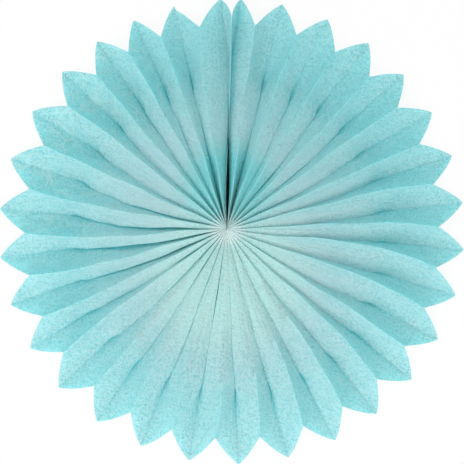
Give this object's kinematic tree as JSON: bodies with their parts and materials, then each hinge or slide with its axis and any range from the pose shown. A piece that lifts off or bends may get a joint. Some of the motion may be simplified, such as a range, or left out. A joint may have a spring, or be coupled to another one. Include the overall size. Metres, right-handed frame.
{
  "type": "paper fan rosette",
  "caption": "Round party fan of accordion-pleated tissue, opened flat with pointed petals round its rim and closed along one radial seam.",
  "frame": {"origin": "on the hub's axis, in the plane that the valley folds lie on", "axes": "+Z out of the front of the rosette, along the hub's axis; +Y along the back plane towards the seam, which lies 1.3 degrees clockwise of it as seen from the front; +X to the right as seen from the front"},
  "size_m": [0.3985, 0.3999, 0.021],
  "materials": {
    "tissue": "matte",
    "tape": "matte",
    "thread": "matte"
  },
  "bodies": {
    "root": {"pleated_tissue": "tissue", "seam_tape": "tape", "binding_thread": "thread"}
  },
  "joints": []
}
